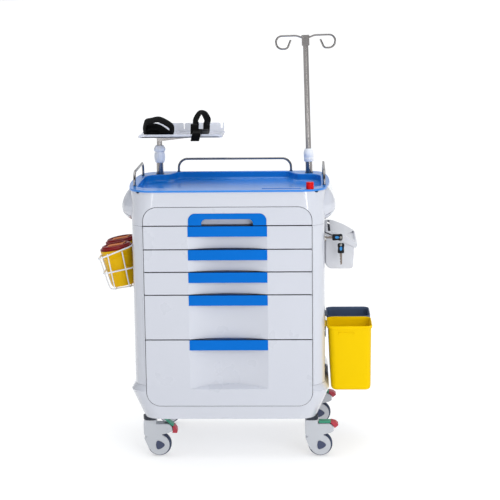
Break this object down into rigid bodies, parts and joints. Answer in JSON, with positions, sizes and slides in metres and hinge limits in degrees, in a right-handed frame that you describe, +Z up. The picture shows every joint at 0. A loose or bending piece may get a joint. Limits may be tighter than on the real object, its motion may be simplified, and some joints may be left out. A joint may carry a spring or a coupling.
{
  "type": "crash cart",
  "caption": "Wheeled emergency trolley with a stack of slide-out drawers, sunken worktop, drip pole, monitor arm, side bins and sharps holder.",
  "frame": {"origin": "on the floor, under the middle of the overall box", "axes": "+X to the right of a user who faces the drawers, -Y the drawer front, +Z up"},
  "size_m": [0.8636, 0.472, 1.3098],
  "materials": {
    "shell": "moulded ABS, off-white",
    "panel": "powder-coated sheet steel",
    "frame_steel": "powder-coated steel",
    "slide_steel": "zinc-plated steel",
    "worktop": "glossy blue ABS",
    "handle": "blue ABS",
    "front": "moulded ABS, off-white",
    "tub": "grey-white ABS",
    "stainless": "stainless steel tube and rod",
    "collar": "white nylon",
    "clear_tray": "translucent polycarbonate",
    "webbing": "black nylon webbing",
    "basket": "white plastic-coated wire",
    "pot": "yellow polypropylene, dark red lid",
    "flap": "orange polypropylene",
    "bin_yellow": "yellow polypropylene",
    "bin_navy": "navy polypropylene",
    "box": "off-white ABS",
    "lock": "nickel-plated",
    "key": "black head on a nickel blade",
    "button": "red plastic",
    "mount": "dark dust ring",
    "fork": "light grey nylon hood",
    "wheel": "navy TPR tread",
    "pedal": "red foot pad with green tab"
  },
  "bodies": {
    "root": {"base_shroud": "shell", "top_shroud": "shell", "corner_columns": "shell", "body_panels": "panel", "steel_frame": "frame_steel", "drawer_slides": "slide_steel", "tabletop": "worktop", "guard_rails": "stainless", "lower_posts": "stainless", "sharps_basket": "basket", "bin_rack": "frame_steel", "side_box": "box", "key_lock": "lock", "caster_mounts": "mount"},
    "drawer_large": {"drawer_large_front": "front", "drawer_large_handle": "handle", "drawer_large_tub": "tub"},
    "drawer_medium": {"drawer_medium_front": "front", "drawer_medium_handle": "handle", "drawer_medium_tub": "tub"},
    "drawer_small_c": {"drawer_small_c_front": "front", "drawer_small_c_handle": "handle", "drawer_small_c_tub": "tub"},
    "drawer_small_b": {"drawer_small_b_front": "front", "drawer_small_b_handle": "handle", "drawer_small_b_tub": "tub"},
    "drawer_small_a": {"drawer_small_a_front": "front", "drawer_small_a_handle": "handle", "drawer_small_a_tub": "tub"},
    "top_tray": {"top_tray_front": "front", "top_tray_handle": "handle", "top_tray_tub": "tub"},
    "iv_collar": {"iv_collar": "collar"},
    "iv_pole": {"iv_pole": "stainless"},
    "defib_collar": {"defib_collar": "collar"},
    "defib_arm": {"defib_post": "stainless", "defib_tray": "clear_tray", "defib_straps": "webbing"},
    "sharps_front": {"sharps_front": "pot"},
    "sharps_front_flap": {"sharps_front_flap": "flap"},
    "sharps_rear": {"sharps_rear": "pot"},
    "sharps_rear_flap": {"sharps_rear_flap": "flap"},
    "bin_front": {"bin_front": "bin_yellow"},
    "bin_rear": {"bin_rear": "bin_navy"},
    "side_box_lid": {"side_box_lid": "box"},
    "lock_key": {"lock_key": "key"},
    "spare_key": {"spare_key": "key"},
    "lock_button": {"lock_button": "button"},
    "front_left_swivel": {"front_left_fork": "fork"},
    "front_left_wheel": {"front_left_wheel": "wheel"},
    "front_left_pedal": {"front_left_pedal": "pedal"},
    "front_right_swivel": {"front_right_fork": "fork"},
    "front_right_wheel": {"front_right_wheel": "wheel"},
    "front_right_pedal": {"front_right_pedal": "pedal"},
    "rear_left_swivel": {"rear_left_fork": "fork"},
    "rear_left_wheel": {"rear_left_wheel": "wheel"},
    "rear_left_pedal": {"rear_left_pedal": "pedal"},
    "rear_right_swivel": {"rear_right_fork": "fork"},
    "rear_right_wheel": {"rear_right_wheel": "wheel"},
    "rear_right_pedal": {"rear_right_pedal": "pedal"}
  },
  "joints": [
    {"name": "drawer_large_slide", "type": "slide", "parent": "root", "child": "drawer_large", "axis": [0, -1, 0], "range_m": [0, 0.3]},
    {"name": "drawer_medium_slide", "type": "slide", "parent": "root", "child": "drawer_medium", "axis": [0, -1, 0], "range_m": [0, 0.3]},
    {"name": "drawer_small_c_slide", "type": "slide", "parent": "root", "child": "drawer_small_c", "axis": [0, -1, 0], "range_m": [0, 0.3]},
    {"name": "drawer_small_b_slide", "type": "slide", "parent": "root", "child": "drawer_small_b", "axis": [0, -1, 0], "range_m": [0, 0.3]},
    {"name": "drawer_small_a_slide", "type": "slide", "parent": "root", "child": "drawer_small_a", "axis": [0, -1, 0], "range_m": [0, 0.3]},
    {"name": "top_tray_slide", "type": "slide", "parent": "root", "child": "top_tray", "axis": [0, -1, 0], "range_m": [0, 0.3]},
    {"name": "iv_swivel", "type": "hinge", "parent": "root", "child": "iv_collar", "pos_m": [0.23579, 0.177, 0.8555], "axis": [-0.0227, 0, 0.9997], "continuous": true},
    {"name": "iv_height", "type": "slide", "parent": "iv_collar", "child": "iv_pole", "axis": [-0.0227, 0, 0.9997], "range_m": [-0.2, 0.2]},
    {"name": "defib_swivel", "type": "hinge", "parent": "root", "child": "defib_collar", "pos_m": [-0.25721, 0.175, 0.8555], "axis": [0, 0, 1], "continuous": true},
    {"name": "defib_height", "type": "slide", "parent": "defib_collar", "child": "defib_arm", "axis": [0, 0, 1], "range_m": [0, 0.2]},
    {"name": "sharps_front_lift", "type": "slide", "parent": "root", "child": "sharps_front", "axis": [-0.1736, 0, 0.9848], "range_m": [0, 0.06]},
    {"name": "sharps_front_flap_hinge", "type": "hinge", "parent": "sharps_front", "child": "sharps_front_flap", "pos_m": [-0.35198, -0.075, 0.66846], "axis": [0, 1, 0], "range_deg": [0, 100]},
    {"name": "sharps_rear_lift", "type": "slide", "parent": "root", "child": "sharps_rear", "axis": [-0.1736, 0, 0.9848], "range_m": [0, 0.06]},
    {"name": "sharps_rear_flap_hinge", "type": "hinge", "parent": "sharps_rear", "child": "sharps_rear_flap", "pos_m": [-0.35198, 0.055, 0.66846], "axis": [0, 1, 0], "range_deg": [0, 100]},
    {"name": "bin_front_lift", "type": "slide", "parent": "root", "child": "bin_front", "axis": [0, 0, 1], "range_m": [0, 0.06]},
    {"name": "bin_rear_lift", "type": "slide", "parent": "root", "child": "bin_rear", "axis": [0, 0, 1], "range_m": [0, 0.06]},
    {"name": "side_box_lid_hinge", "type": "hinge", "parent": "root", "child": "side_box_lid", "pos_m": [0.28729, 0, 0.706], "axis": [0, -1, 0], "range_deg": [0, 75]},
    {"name": "lock_key_turn", "type": "hinge", "parent": "root", "child": "lock_key", "pos_m": [0.28179, -0.15, 0.6945], "axis": [1, 0, 0], "range_deg": [-90, 0]},
    {"name": "spare_key_swing", "type": "hinge", "parent": "lock_key", "child": "spare_key", "pos_m": [0.33279, -0.15, 0.671], "axis": [0, 1, 0], "range_deg": [-70, 30]},
    {"name": "lock_button_press", "type": "slide", "parent": "root", "child": "lock_button", "axis": [0, 0, -1], "range_m": [0, 0.003], "stiffness_N_per_m": 300, "springref_m": -0.002},
    {"name": "front_left_caster_swivel", "type": "hinge", "parent": "root", "child": "front_left_swivel", "pos_m": [-0.27121, -0.177, 0.11], "axis": [0, 0, 1], "continuous": true},
    {"name": "front_left_wheel_spin", "type": "hinge", "parent": "front_left_swivel", "child": "front_left_wheel", "pos_m": [-0.24321, -0.177, 0.0381], "axis": [0, 1, 0], "continuous": true},
    {"name": "front_left_pedal_press", "type": "hinge", "parent": "front_left_swivel", "child": "front_left_pedal", "pos_m": [-0.21921, -0.177, 0.088], "axis": [0, 1, 0], "range_deg": [-42, 0]},
    {"name": "front_right_caster_swivel", "type": "hinge", "parent": "root", "child": "front_right_swivel", "pos_m": [0.23879, -0.177, 0.11], "axis": [0, 0, 1], "continuous": true},
    {"name": "front_right_wheel_spin", "type": "hinge", "parent": "front_right_swivel", "child": "front_right_wheel", "pos_m": [0.26679, -0.177, 0.0381], "axis": [0, 1, 0], "continuous": true},
    {"name": "front_right_pedal_press", "type": "hinge", "parent": "front_right_swivel", "child": "front_right_pedal", "pos_m": [0.29079, -0.177, 0.088], "axis": [0, 1, 0], "range_deg": [0, 42]},
    {"name": "rear_left_caster_swivel", "type": "hinge", "parent": "root", "child": "rear_left_swivel", "pos_m": [-0.27121, 0.177, 0.11], "axis": [0, 0, 1], "continuous": true},
    {"name": "rear_left_wheel_spin", "type": "hinge", "parent": "rear_left_swivel", "child": "rear_left_wheel", "pos_m": [-0.24321, 0.177, 0.0381], "axis": [0, 1, 0], "continuous": true},
    {"name": "rear_left_pedal_press", "type": "hinge", "parent": "rear_left_swivel", "child": "rear_left_pedal", "pos_m": [-0.21921, 0.177, 0.088], "axis": [0, 1, 0], "range_deg": [0, 42]},
    {"name": "rear_right_caster_swivel", "type": "hinge", "parent": "root", "child": "rear_right_swivel", "pos_m": [0.23879, 0.177, 0.11], "axis": [0, 0, 1], "continuous": true},
    {"name": "rear_right_wheel_spin", "type": "hinge", "parent": "rear_right_swivel", "child": "rear_right_wheel", "pos_m": [0.26679, 0.177, 0.0381], "axis": [0, 1, 0], "continuous": true},
    {"name": "rear_right_pedal_press", "type": "hinge", "parent": "rear_right_swivel", "child": "rear_right_pedal", "pos_m": [0.29079, 0.177, 0.088], "axis": [0, 1, 0], "range_deg": [0, 42]}
  ]
}
